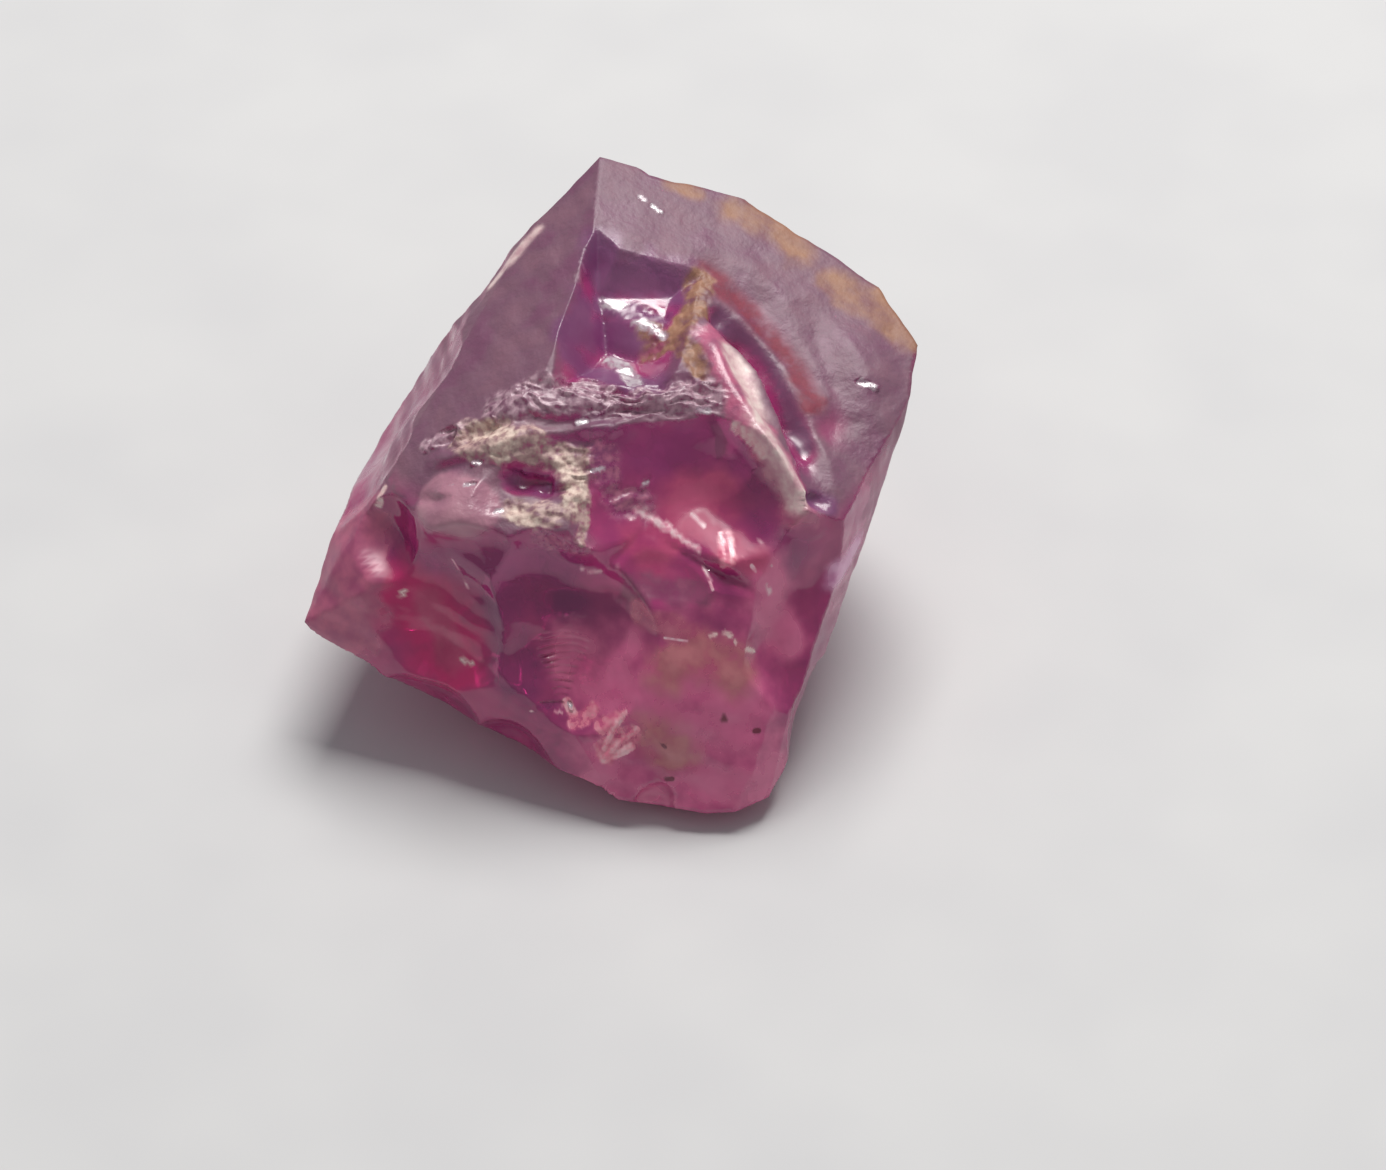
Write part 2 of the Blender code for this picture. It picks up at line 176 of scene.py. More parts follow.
# Steps: a notch is what lies on the outer side of all of its planes, each a point and a normal
NOTCHES = {
    "first_step": (
        ((0.30, 1.50, 4.95), (0.18, -0.74, 0.64)),
        ((0.20, 0.60, 4.46), (0.10, -0.12, 0.99)),
        ((-0.44, 0.60, 4.86), (0.90, -0.28, 0.34)),
        ((1.00, 0.70, 4.66), (-0.52, 0.05, 0.85)),
    ),
    "second_step": (
        ((0.20, 0.82, 4.52), (-0.34, -0.58, 0.74)),
        ((-0.20, 0.10, 4.15), (0.00, 0.10, 0.99)),
        ((-0.20, -0.52, 4.43), (0.03, 0.42, 0.91)),
        ((-0.72, -0.10, 4.64), (0.76, -0.34, 0.56)),
        ((0.78, 0.00, 4.50), (-0.62, -0.10, 0.78)),
    ),
    "band_step": (
        ((-0.30, -0.92, 4.20), (0.05, -0.80, 0.60)),
        ((-0.30, -1.25, 3.92), (-0.06, -0.42, 0.91)),
        ((-0.08, -1.30, 3.92), (-0.74, -0.26, 0.62)),
        ((-2.00, -1.20, 3.66), (0.60, -0.30, 0.74)),
    ),
    "left_chip": (
        ((-1.22, 2.30, 4.50), (-0.80, 0.45, 0.40)),
    ),
    "crack_flake": (
        ((0.70, -1.80, 3.22), (-0.45, -0.80, -0.05)),
        ((0.45, -2.05, 2.94), (0.05, -0.40, 0.91)),
        ((0.02, -1.98, 3.12), (0.62, -0.70, 0.36)),
    ),
    "lip_flake": (
        ((-0.20, -3.10, 1.42), (-0.15, -0.75, 0.64)),
        ((-0.20, -3.02, 1.60), (0.10, -0.99, -0.05)),
    ),
}

# Furrows and ribs: a route over the skin, half its width and its depth, below zero for a rib
FURROWS = {
    "curved_furrow": (
        ((1.40, 0.70, 4.52), (1.72, 0.44, 4.38), (2.00, 0.14, 4.24),
         (2.20, -0.34, 4.10), (2.42, -0.94, 3.86)),
        0.18, 0.44,
    ),
    "red_slope": (
        ((1.34, 1.42, 4.62), (1.80, 1.05, 4.45), (2.12, 0.62, 4.28),
         (2.44, 0.12, 4.10), (2.66, -0.35, 3.92)),
        0.30, 0.15,
    ),
    "furrow_rib": (
        ((1.10, 0.36, 4.54), (1.40, -0.44, 4.36), (1.72, -0.98, 4.16),
         (2.12, -1.58, 3.78), (2.50, -1.96, 3.34)),
        0.19, -0.18,
    ),
    "furrow_end": (
        ((2.34, -0.80, 3.94), (2.48, -1.15, 3.76), (2.50, -1.50, 3.58)),
        0.20, 0.16,
    ),
    "lobe_groove": (
        ((2.45, 1.10, 4.20), (2.80, 0.35, 4.02), (3.00, -0.25, 3.84)),
        0.20, 0.10,
    ),
    "band_crease": (
        ((-2.00, -0.80, 3.82), (-1.30, -0.82, 4.14), (-0.40, -0.86, 4.25),
         (0.30, -0.78, 4.30), (1.00, -0.72, 4.32)),
        0.11, 0.09,
    ),
    "band_crease_high": (
        ((-1.05, -0.50, 4.38), (-0.40, -0.44, 4.40), (0.35, -0.52, 4.38), (0.90, -0.40, 4.42)),
        0.09, 0.07,
    ),
    "band_rib": (
        ((-2.20, -0.98, 3.62), (-1.50, -1.06, 3.98), (-0.70, -1.02, 4.12), (0.10, -0.96, 4.18)),
        0.10, -0.07,
    ),
    "crust_crease": (
        ((-1.30, -1.35, 3.80), (-0.85, -1.62, 3.66), (-0.30, -1.50, 3.70)),
        0.10, 0.10,
    ),
    "tongue_crease": (
        ((-2.38, -1.30, 3.30), (-2.16, -1.44, 3.40), (-1.92, -1.56, 3.50)),
        0.07, 0.07,
    ),
}

# Swellings: a point on the skin, its radius and its height, below zero for a soft dip
SWELLINGS = {
    "cloud_bulge": ((1.10, -3.00, 1.60), 1.15, 0.16),
    "toe_bulge": ((1.60, -3.40, 0.80), 0.60, 0.07),
    "lobe_swell": ((3.05, 0.55, 3.95), 0.75, 0.10),
    "lobe_dip": ((2.80, -0.62, 3.72), 0.80, -0.12),
    "tongue_pad": ((-1.92, -1.66, 3.46), 0.62, 0.17),
    "crust_mound": ((-1.15, -1.10, 3.96), 0.42, 0.07),
    "crust_edge": ((-0.50, -1.55, 3.72), 0.30, 0.07),
    "left_face_swell": ((-3.30, -1.50, 2.40), 0.60, 0.06),
    "back_swell": ((1.60, 3.00, 2.70), 0.90, 0.08),
}

# Places of the small relief and the markings, as routes of pixels over the photograph's frame,
# each with the half width in millimetres that it covers. The word before the _ names the mask
PATCHES = {
    # The broken band across the middle, its crust and the smooth tongue beside it
    "wrinkle_left": (((500, 408), (540, 398), (584, 390)), 0.25),
    "wrinkle_right": (((590, 396), (650, 398), (708, 394)), 0.24),
    "wrinkle_crease": (((428, 446), (448, 436), (466, 428)), 0.10),
    "crease_low": (((600, 455), (612, 500), (646, 508)), 0.18),
    "crease_fade": (((540, 538), (574, 548)), 0.15),
    "crust_swirl": (((468, 442), (496, 436), (526, 444)), 0.25),
    "crust_bridge": (((532, 450), (558, 456), (574, 462)), 0.20),
    "crust_right": (((572, 470), (576, 502)), 0.17),
    "crust_lower": (((512, 508), (545, 514), (574, 514)), 0.15),
    "crust_scrap": (((585, 522), (580, 540)), 0.07),
    "core_swirl": (((480, 430), (510, 438), (500, 452)), 0.12),
    "core_right": (((562, 464), (576, 480), (573, 502)), 0.12),
    "core_lower": (((516, 514), (532, 520)), 0.10),
    "tongue_lobe": (((444, 500), (468, 508)), 0.41),
    # Stains
    "ochre_stain": (((698, 282), (696, 305), (676, 335), (655, 350)), 0.19),
    "ochre_step": (((650, 330), (690, 350), (700, 368)), 0.15),
    "rust_crest": (((674, 184), (696, 190)), 0.14),
    "rust_far": (((735, 212), (770, 225), (798, 248)), 0.26),
    "rust_shoulder": (((846, 290), (880, 304), (906, 336)), 0.30),
    "olive_spot": (((672, 668), (700, 650), (735, 668)), 0.30),
    "olive_low": (((655, 735), (672, 752)), 0.28),
    # Small flashing facets, turned to mirror the lamp; their pale colour is a painted highlight
    "glint_high": (((605, 304), (622, 306)), 0.07),
    "glint_middle": (((636, 322), (650, 326), (664, 336)), 0.06),
    "glint_low": (((613, 362), (626, 370), (634, 382)), 0.11),
    "glint_lobe": (((860, 382), (874, 388)), 0.045),
    "glint_apex": (((640, 197), (645, 200)), 0.03),
    "glint_crest": (((652, 206), (661, 212)), 0.03),
    "glint_slit": (((569, 703), (572, 708)), 0.025),
    "glint_tongue": (((465, 486), (474, 485)), 0.035),
    "glint_crust": (((474, 463), (480, 462)), 0.035),
    "glint_pad": (((448, 487), (454, 486)), 0.025),
    "glint_rim": (((494, 513), (501, 511)), 0.03),
    "glint_pit": (((539, 492), (546, 490)), 0.03),
    "glint_scale": (((578, 423), (586, 421)), 0.04),
    "glint_ledge": (((699, 410), (708, 411)), 0.04),
    "glint_hollow": (((643, 486), (648, 480)), 0.025),
    "glint_edge": (((592, 471), (602, 468)), 0.025),
    # Cream spots, mostly painted sparkles and glints, with a pale chip at the left corner; dark flecks;
    # the pale edges and the lilac edge, painted highlights along the ridge and the edges
    "cream_first": (((711, 636), (716, 634)), 0.026),
    "cream_second": (((725, 633), (731, 635)), 0.034),
    "cream_third": (((746, 649), (753, 651)), 0.034),
    "cream_fourth": (((735, 641), (736, 643)), 0.022),
    "cream_ridge": (((737, 428), (750, 438), (762, 452)), 0.09),
    "cream_corner": (((379, 504), (384, 488)), 0.05),
    "cream_speck": (((463, 661), (471, 663)), 0.035),
    "cream_fleck": (((402, 596), (404, 592)), 0.035),
    "fleck_first": (((724, 717), (724, 720)), 0.032),
    "fleck_second": (((755, 731), (758, 731)), 0.036),
    "fleck_third": (((667, 779), (672, 779)), 0.032),
    "fleck_fourth": (((663, 745), (665, 747)), 0.024),
    "pale_ridge": (((728, 352), (746, 388), (764, 426), (780, 456), (796, 500)), 0.17),
    "pale_left": (((491, 286), (538, 230)), 0.08),
    "lilac_right": (((836, 578), (856, 545)), 0.18),
    # Thin flakes beside the cracks, and the two broken flakes at the front; their pale pink is partly the
    # flakes' own colour and partly painted highlight, and the bloom round them is a painted glow
    "flake_streak": (((638, 508), (654, 519), (668, 529)), 0.055),
    "flake_branch": (((668, 529), (682, 538), (700, 551)), 0.036),
    "flake_inner": (((690, 514), (704, 526)), 0.018),
    "flake_right": (((752, 566), (770, 592)), 0.024),
    "flake_low": (((702, 562), (713, 590)), 0.022),
    "flake_far": (((760, 540), (772, 566)), 0.014),
    "flake_pocket": (((452, 560), (468, 588)), 0.014),
    "flake_lip": (((531, 711), (562, 712)), 0.020),
    "flake_crack": (((580, 568), (592, 572), (604, 570), (617, 566)), 0.020),
    "flake_edge": (((665, 638), (687, 641)), 0.016),
    "petal_upright": (((720, 534), (722, 566)), 0.035),
    "petal_beside": (((731, 536), (733, 562)), 0.030),
    "bloom_upright": (((725, 538), (727, 562)), 0.10),
    "petal_spark": (((567, 702), (573, 714)), 0.06),
    "bloom_slit": (((574, 722), (585, 717), (593, 708)), 0.09),
    "petal_tall": (((604, 748), (614, 728), (625, 712)), 0.036),
    "petal_wide": (((606, 754), (622, 740), (637, 729)), 0.040),
    "petal_low": (((604, 759), (616, 754), (630, 747)), 0.060),
    "bloom_high": (((604, 726), (618, 718)), 0.11),
    "bloom_low": (((607, 750), (626, 736)), 0.15),
    # Ripple arcs, from where the scoop was struck to their far side
    "ripple_arcs": (((563, 722), (561, 640)), 0.45),
    # Dark and deep places, painted as shade: the risers and step floors turned from the light, the notch,
    # the pit and the groove; the plum patches deepen the magenta as painted shade in the hollows, the
    # slit, the band and the face under the ridge
    "dusk_riser": (((600, 256), (606, 280), (645, 274), (680, 288)), 0.28),
    "dusk_floor": (((598, 304), (630, 310), (660, 320)), 0.16),
    "dusk_low": (((572, 356), (596, 374), (650, 386)), 0.22),
    "dusk_step": (((584, 306), (570, 336), (600, 334), (636, 340)), 0.22),
    "dusk_notch": (((808, 500), (828, 507)), 0.12),
    "dusk_pit": (((512, 480), (542, 486)), 0.13),
    "shade_groove": (((720, 320), (745, 340), (768, 360), (782, 388), (790, 418), (804, 448)), 0.13),
    "plum_ridge": (((722, 428), (738, 462), (762, 512), (792, 560)), 0.26),
    "plum_tongue": (((395, 545), (430, 562), (480, 560)), 0.24),
    "plum_slit": (((541, 706), (561, 705)), 0.055),
    "plum_hollow": (((590, 440), (640, 450), (700, 450)), 0.42),
    "plum_band": (((508, 560), (506, 620), (520, 680)), 0.30),
    "plum_scoop": (((545, 560), (560, 600)), 0.34),
    # Glowing places, a painted glow of light through the body; cloudy and blushing places
    "crimson_pocket": (((405, 600), (440, 615), (450, 652)), 0.50),
    "glow_flake": (((650, 550), (690, 505), (715, 500)), 0.36),
    "glow_pocket": (((430, 600), (450, 655)), 0.18),
    "sheen_flake": (((694, 526), (718, 540), (746, 557)), 0.22),
    "sheen_left": (((365, 552), (382, 574)), 0.15),
    "rose_cloud": (((640, 690), (700, 680), (740, 760), (660, 770)), 0.75),
    "rose_scoop": (((572, 648), (584, 690)), 0.32),
    "rose_right": (((768, 580), (776, 640)), 0.34),
    "rose_toe": (((600, 770), (700, 795), (770, 770)), 0.40),
    "red_slope": (((706, 276), (746, 312), (771, 342), (796, 378), (812, 402)), 0.17),
    "mauve_band": (((630, 586), (664, 591), (700, 593)), 0.17),
    "veil_middle": (((640, 614), (664, 624), (692, 634)), 0.15),
    "blush_facet": (((350, 530), (330, 590), (345, 625)), 0.50),
    "blush_ridge": (((712, 336), (736, 382), (756, 420), (776, 460), (802, 510)), 0.24),
    "blush_border": (((377, 540), (374, 580), (367, 628)), 0.13),
    # The frosted lobe, and sharp edges that only need a fine skin
    "lobe_face": (((760, 250), (830, 300), (870, 380)), 0.85),
    "keen_ridge": (((600, 227), (590, 273), (573, 307), (553, 367)), 0.03),
    "keen_riser": (((600, 232), (650, 262), (690, 268)), 0.02),
}

# Starts of the names of the patches with a fine skin, and with the finest
FINE = ("keen", "wrinkle", "crust", "ochre_st", "bloom", "petal", "cream", "glint", "dusk_floor")
FINEST = ("ripple", "flake", "glint_low", "plum_slit", "fleck")

# How a patch ends: how far noise moves its edge, as a share of its half width, the size of that
# noise in millimetres, and how soft the edge is, as a share too
EDGES = {
    "relief": (0.35, 0.22, 0.5),
    "flash": (0.5, 0.12, 0.5),
    "round": (0.12, 0.4, 0.30),
    "wide": (0.2, 0.5, 0.5),
    "sharp": (0.2, 0.09, 0.5),
    "rough": (0.5, 0.22, 0.6),
    "soft": (0.45, 0.35, 1.1),
}
EDGE_REACH = 1.4
LEAST_COVER = 0.01

# How large the patchiness of the layers is, in millimetres
WAVES = {"broad": 0.50, "middle": 0.22, "fine": 0.09}

# The finish, from the body outwards: two shades on a 0 to 255 scale, a transmission and a
# roughness. A layer has its mask, its kind of edge, its patchiness and how far that breaks it up
# before them. Frost has no patch: it lies on the growth faces
BODY = ((228, 80, 152), (200, 62, 140), 0.55, 0.06)
LAYERS = (
    # Deeper magenta, partly painted shade: in the hollows, the slit, the band and under the ridge
    ("plum", "soft", "broad", 0.20, (208, 70, 150), (178, 54, 138), 0.60, 0.06),
    ("rose", "soft", "broad", 0.30, (248, 124, 172), (228, 96, 150), 0.28, 0.28),
    ("crimson", "soft", "broad", 0.20, (255, 50, 140), (236, 42, 126), 0.46, 0.08),
    # Painted glow of light through the body
    ("glow", "soft", "broad", 0.35, (250, 106, 156), (228, 78, 136), 0.48, 0.12),
    # Painted glow like the glow layer, rough so that the lamp's reflection spreads
    ("sheen", "soft", "broad", 0.20, (240, 92, 142), (214, 72, 126), 0.42, 0.56),
    ("frost", "soft", "broad", 0.12, (148, 100, 122), (128, 84, 112), 0.35, 0.58),
    ("blush", "rough", "middle", 0.20, (228, 118, 156), (194, 96, 138), 0.38, 0.36),
    ("red", "soft", "middle", 0.30, (160, 54, 80), (138, 44, 74), 0.40, 0.75),
    ("tongue", "round", "broad", 0.10, (204, 146, 164), (184, 122, 146), 0.25, 0.36),
    # Painted shade: a duller, darker purple on the risers, the step floors, the notch and the pit
    ("dusk", "soft", "broad", 0.15, (176, 106, 160), (146, 80, 140), 0.55, 0.34),
    ("shade", "soft", "broad", 0.15, (146, 84, 128), (114, 60, 102), 0.42, 0.40),
    ("mauve", "rough", "middle", 0.30, (196, 98, 140), (164, 76, 122), 0.48, 0.24),
    ("veil", "rough", "middle", 0.45, (240, 128, 160), (214, 92, 134), 0.34, 0.28),
    ("olive", "soft", "middle", 0.40, (230, 140, 148), (208, 106, 124), 0.36, 0.30),
    # Painted highlight along the ridge and the left edge
    ("pale", "soft", "middle", 0.25, (255, 232, 226), (238, 190, 196), 0.22, 0.40),
    # Painted highlight on the right lower edge
    ("lilac", "soft", "middle", 0.25, (255, 190, 228), (236, 156, 206), 0.22, 0.36),
    ("crease", "rough", "fine", 0.45, (220, 132, 164), (156, 66, 124), 0.38, 0.34),
    ("wrinkle", "rough", "fine", 0.45, (218, 180, 194), (142, 92, 118), 0.28, 0.42),
    ("crust", "rough", "fine", 0.50, (208, 176, 168), (154, 112, 116), 0.12, 0.60),
    ("core", "rough", "fine", 0.45, (236, 212, 198), (186, 152, 142), 0.05, 0.70),
    ("ochre", "rough", "middle", 0.40, (176, 128, 100), (132, 84, 74), 0.18, 0.60),
    ("rust", "soft", "broad", 0.30, (178, 128, 100), (146, 96, 86), 0.20, 0.60),
    # Painted glow round the broken flakes
    ("bloom", "rough", "fine", 0.55, (255, 158, 180), (240, 104, 144), 0.20, 0.30),
    # Partly the flakes' own pale colour, partly painted highlight
    ("petal", "sharp", "fine", 0.25, (255, 196, 206), (255, 142, 166), 0.14, 0.32),
    # Mostly painted sparkles and glints, and a pale chip at the left corner
    ("cream", "sharp", "fine", 0.20, (255, 228, 222), (248, 190, 194), 0.20, 0.30),
    # Partly the flakes' own pale colour, partly painted highlight
    ("flake", "sharp", "fine", 0.15, (255, 216, 224), (250, 166, 190), 0.20, 0.26),
    # Painted highlight: the pale colour of the flashing facets
    ("glint", "sharp", "fine", 0.40, (250, 240, 246), (214, 190, 206), 0.45, 0.09),
    ("fleck", "sharp", "fine", 0.20, (150, 46, 80), (128, 38, 70), 0.40, 0.30),
)

# Relief of the broken band: the heights of its creases, their size along each axis, how much they
# bend, and how sharp and uneven their crests are
CREASE_HEIGHTS = {"wrinkle": 0.105, "crease": 0.06, "crust": 0.04, "dusk_floor": 0.10}
CREASE_SIZE = (0.75, 0.24, 0.24)
CREASE_BEND = (0.0, 0.16, 0.22)
CREASE_BEND_SIZE = 0.7
CREASE_LEVEL = 0.4
CREASE_SHARPNESS = 2.2
CREASE_FADE = (0.65, 0.60)
CREASE_FADE_SIZE = 0.30

# Relief of lumps and small facets: the height, the level that it is measured from, and the size
LUMPS = {
    "crust": (0.065, 0.55, (0.17, 0.13, 0.13)),
    "core": (0.03, 0.6, 0.07),
    "ochre_st": (0.05, 0.5, 0.10),
    "bloom": (0.05, 0.5, (0.10, 0.22, 0.22)),
    "glint": (0.012, 0.5, 0.09),
}
TONGUE_HEIGHT = 0.035
PIT_DEPTH = 0.12

# Relief of single flakes, as the height of their crest, below zero for a slit
FLAKE_HEIGHTS = {
    "flake_streak": 0.012,
    "flake_branch": 0.008,
    "flake_lip": 0.020,
    "flake_crack": 0.014,
    "petal_upright": 0.010,
    "bloom_slit": 0.020,
    "petal_tall": 0.030,
    "petal_wide": 0.034,
    "petal_low": 0.034,
    "plum_slit": -0.060,
}

# Ripple arcs: their height, spacing and wander, the cosine of the fan's half angle, where the fan
# starts and ends, and how wide each of these limits fades
RIPPLE_HEIGHT = 0.021
RIPPLE_STEP = 0.088
RIPPLE_DRIFT = 0.25
RIPPLE_DRIFT_SIZE = 0.30
RIPPLE_EVENNESS = 0.8
RIPPLE_FAN = 0.93
RIPPLE_FAN_FADE = 0.05
RIPPLE_START = 0.28
RIPPLE_START_FADE = 0.12
RIPPLE_END = 1.15
RIPPLE_END_FADE = 0.20

# Waves of the growth faces and faint shells of the fractures
LOBE_WAVE_HEIGHT = 0.022
LOBE_WAVE_SIZE = 0.40
SHELL_HEIGHT = 0.004
SHELL_STEP = 0.33
SHELL_RISE = (0.35, 0.25, 0.90)
SHELL_SWAY = 0.12
SHELL_SWAY_SIZE = 0.9

# Flashing facets: the way they face to mirror the light behind the crystal into the camera, how
# flat they are, and how far they may move the skin
GLINT_FACING = (0.08, -0.21, 0.97)
GLINT_FLATNESS = 0.8
GLINT_LIMIT = 0.05

# Frost: where it starts and over how much it sets in, by height, by the way the skin faces and by
# how deep the skin is cut away, and its strength on each side
FROST_HIGH = (3.0, 0.5)
FROST_UPWARD = (0.35, 0.35)
FROST_LEFTWARD = (0.30, 0.25)
FROST_LEFT_HIGH = (2.4, 0.6)
FROST_BEHIND = (0.20, 0.3)
FROST_CUT = (0.08, 0.14)
FROST_LOST = 0.85
FROST_LEFT = 0.9
FROST_BACK = 0.7
FROST_LOBE = 0.7

# The clear body: spinel's refraction, and a pinkish purple that absorbs with depth
SPINEL_IOR = 1.718
BODY_COLOUR = (0.86, 0.30, 0.66, 1.0)
BODY_DENSITY = 220.0

# The grain of the surface: its size and height in millimetres, its strength, how much of it the
# glassy body has and how much more the matt layers have
GRAIN_SIZE = 0.10
GRAIN_HEIGHT = 0.02
GRAIN_STRENGTH = 0.4
GRAIN_GLASSY = 0.03
GRAIN_MATT = 0.5
MATT = ("frost", "red", "wrinkle", "crust", "core", "ochre", "rust")
FINE_DETAIL = 4.0
PLAIN_DETAIL = 2.0
NOISE_RANGE = (0.35, 0.65)
SCREEN_GAMMA = 2.2

# The stage: floor, soft light behind the crystal and surround, in metres, watts and degrees;
# the floor's mottle is in millimetres
FLOOR_SIZE = 0.6
FLOOR_SHADES = ((0.60, 0.60, 0.61, 1.0), (0.63, 0.63, 0.635, 1.0))
FLOOR_MOTTLE = 3.0
FLOOR_ROUGHNESS = 0.7
KEY_AZIMUTH = 18.0
KEY_ELEVATION = 66.0
KEY_DISTANCE = 0.12
KEY_SIZE = 0.060
KEY_POWER = 0.15
KEY_TONE = (1.0, 0.98, 0.95)
SURROUND = (0.55, 0.56, 0.58, 1.0)
SURROUND_STRENGTH = 0.50


def unit(vector):
    """Return the vector at length one."""
    vector = np.asarray(vector, float)
    return vector / np.linalg.norm(vector)


def smooth_step(value):
    """Ease a value between zero and one, and hold it there outside that range."""
    value = np.clip(value, 0.0, 1.0)
    return value * value * (3.0 - 2.0 * value)


def ramp(value, start, fade):
    """Ease from zero to one over the fade, from where the value passes the start."""
    return smooth_step((value - start) / fade)


def camera_axes():
    """Return the camera's place and its right, up and forward directions, in millimetres."""
    tilt = math.radians(CAMERA_ELEVATION)
    right = np.array((1.0, 0.0, 0.0))
    upward = np.array((0.0, math.sin(tilt), math.cos(tilt)))
    forward = np.array((0.0, math.cos(tilt), -math.sin(tilt)))
    return CAMERA_TARGET - forward * CAMERA_DISTANCE, right, upward, forward


def photo_ray(pixel):
    """Return the direction in which a pixel of the photograph looks."""
    _, right, upward, forward = camera_axes()
    across = (pixel[0] - PHOTO[0] / 2) / FOCAL_PIXELS
    down = (pixel[1] - PHOTO[1] / 2) / FOCAL_PIXELS
    return unit(right * across - upward * down + forward)


def outer_form():
    """Return the hull of the named corners as a bmesh, in millimetres."""
    corners = []
    for group in (CREST, LEFT_FACES, FRONT, RIM, BACK):
        corners.extend(group.values())
    corners.extend((x, y, -REST_DEPTH) for x, y in REST.values())
    form = bmesh.new()
    for corner in corners:
        form.verts.new(corner)
    hull = bmesh.ops.convex_hull(form, input=form.verts)
    spare = [item for item in hull["geom_interior"] if isinstance(item, bmesh.types.BMVert)]
    bmesh.ops.delete(form, geom=spare, context="VERTS")
    return form


def split_long(form, limits):
    """Split each edge that is longer than the limit at its middle."""
    middles = np.array([(edge.verts[0].co + edge.verts[1].co) / 2 for edge in form.edges])
    lengths = np.array([edge.calc_length() for edge in form.edges])
    edges = form.edges[:]
    split = [edges[index] for index in np.flatnonzero(lengths > limits(middles))]
    if split:
        bmesh.ops.subdivide_edges(form, edges=split, cuts=1, use_single_edge=True)
        bmesh.ops.triangulate(form, faces=form.faces)


def distance_to(points, route):
    """Return each point's distance to a route of straight runs, or to a single place."""
    route = [np.asarray(stop, float) for stop in route]
    nearest = np.linalg.norm(points - route[0], axis=1)
    for start, end in zip(route, route[1:]):
        run = end - start
        place = np.clip((points - start) @ run / (run @ run), 0.0, 1.0)
        gap = np.linalg.norm(points - start - place[:, None] * run, axis=1)
        nearest = np.minimum(nearest, gap)
    return nearest


def fractal(points, size, octaves=3):
    """Return uneven noise, about -1 to 1, with features of the given size along each axis."""
    scaled = points / np.asarray(size, float)
    return np.array([noise.fractal(Vector(point), FRACTAL_FALL, FRACTAL_STEP, octaves)
                     for point in scaled])


def cells(points, size):
    """Return the distance to the nearest of scattered seeds, 0 at a seed and about 1 between them."""
    scaled = points / np.asarray(size, float)
    return np.array([noise.voronoi(Vector(point))[0][0] for point in scaled])


class Skin:
    """The crystal's skin as distances from its heart, along one ray for each vertex."""

    def __init__(self, points):
        offset = np.asarray(points, float) - HEART
        self.reach = np.linalg.norm(offset, axis=1)
        self.whole = self.reach.copy()
        self.ray = offset / self.reach[:, None]
        noise.seed_set(SWAY_SEED)
        drift = [noise.noise_vector(Vector(point) / SWAY_SIZE) for point in self.points()]
        self.sway = SWAY * np.array(drift)

    def points(self):
        """Return the skin's points."""
        return HEART + self.ray * self.reach[:, None]

    def plane_reach(self, point, normal):
        """Return where each ray leaves the inner side of a plane."""
        normal = unit(normal)
        toward = self.ray @ normal
        height = (np.asarray(point) - HEART + STEP_SWAY * self.sway) @ normal
        return np.where(toward > TINY, height / np.maximum(toward, TINY), np.inf)

    def notch(self, planes):
        """Cut away what lies on the outer side of all the planes."""
        floor = np.zeros(len(self.reach))
        for point, normal in planes:
            floor = np.maximum(floor, self.plane_reach(point, normal))
        self.reach = np.minimum(self.reach, floor)

    def scoop(self, point, facing, radius, depth, axis, stretch):
        """Cut a shallow bowl into the skin, stretched along an axis."""
        facing = unit(facing)
        bend = (radius ** 2 + depth ** 2) / (2.0 * depth)
        middle = np.asarray(point) + facing * (bend - depth)
        along = unit(np.asarray(axis) - facing * (np.asarray(axis) @ facing))
        squeeze = np.eye(3) + (1.0 / stretch - 1.0) * np.outer(along, along)
        ray = self.ray @ squeeze
        start = (HEART - middle + self.sway) @ squeeze
        square = np.einsum("ij,ij->i", ray, ray)
        half = np.einsum("ij,ij->i", ray, start)
        rest = half ** 2 - square * (np.einsum("ij,ij->i", start, start) - bend ** 2)
        entry = (-half - np.sqrt(np.maximum(rest, 0.0))) / square
        self.reach = np.where((rest > 0.0) & (half < 0.0), np.minimum(self.reach, entry), self.reach)

    def furrow(self, route, width, depth):
        """Press a furrow that tapers along a route, or raise a rib where the depth is negative."""
        points = self.points()
        ends = np.minimum(distance_to(points, route[:1]), distance_to(points, route[-1:]))
        taper = END_DEPTH + (1.0 - END_DEPTH) * smooth_step(ends / (TAPER * width))
        self.reach -= depth * taper * smooth_step(1.0 - distance_to(points, route) / (FLANK * width))

    def swell(self, point, radius, height):
        """Raise a low rounded bulge, or press a soft dip where the height is negative."""
        gap = distance_to(self.points(), [point])
        self.reach += height * smooth_step(1.0 - gap / radius)


def carve(skin):
    """Cut every named form of the solid into the skin."""
    for planes in NOTCHES.values():
        skin.notch(planes)
    for scoop in SCOOPS.values():
        skin.scoop(*scoop)
    for furrow in FURROWS.values():
        skin.furrow(*furrow)
    for swelling in SWELLINGS.values():
        skin.swell(*swelling)
    skin.reach += WEAR * fractal(skin.points(), WEAR_SIZE, 4)
    skin.sway[:] = 0.0


def coarse_tree():
    """Return a search tree of the carved crystal at a coarse size, for placing patches."""
    form = outer_form()
    for _ in range(COARSE_ROUNDS):
        split_long(form, lambda middles: np.full(len(middles), EDGE_COARSE))
    skin = Skin([vertex.co for vertex in form.verts])
    carve(skin)
    for vertex, point in zip(form.verts, skin.points()):
        vertex.co = point
    tree = BVHTree.FromBMesh(form)
    form.free()
    return tree


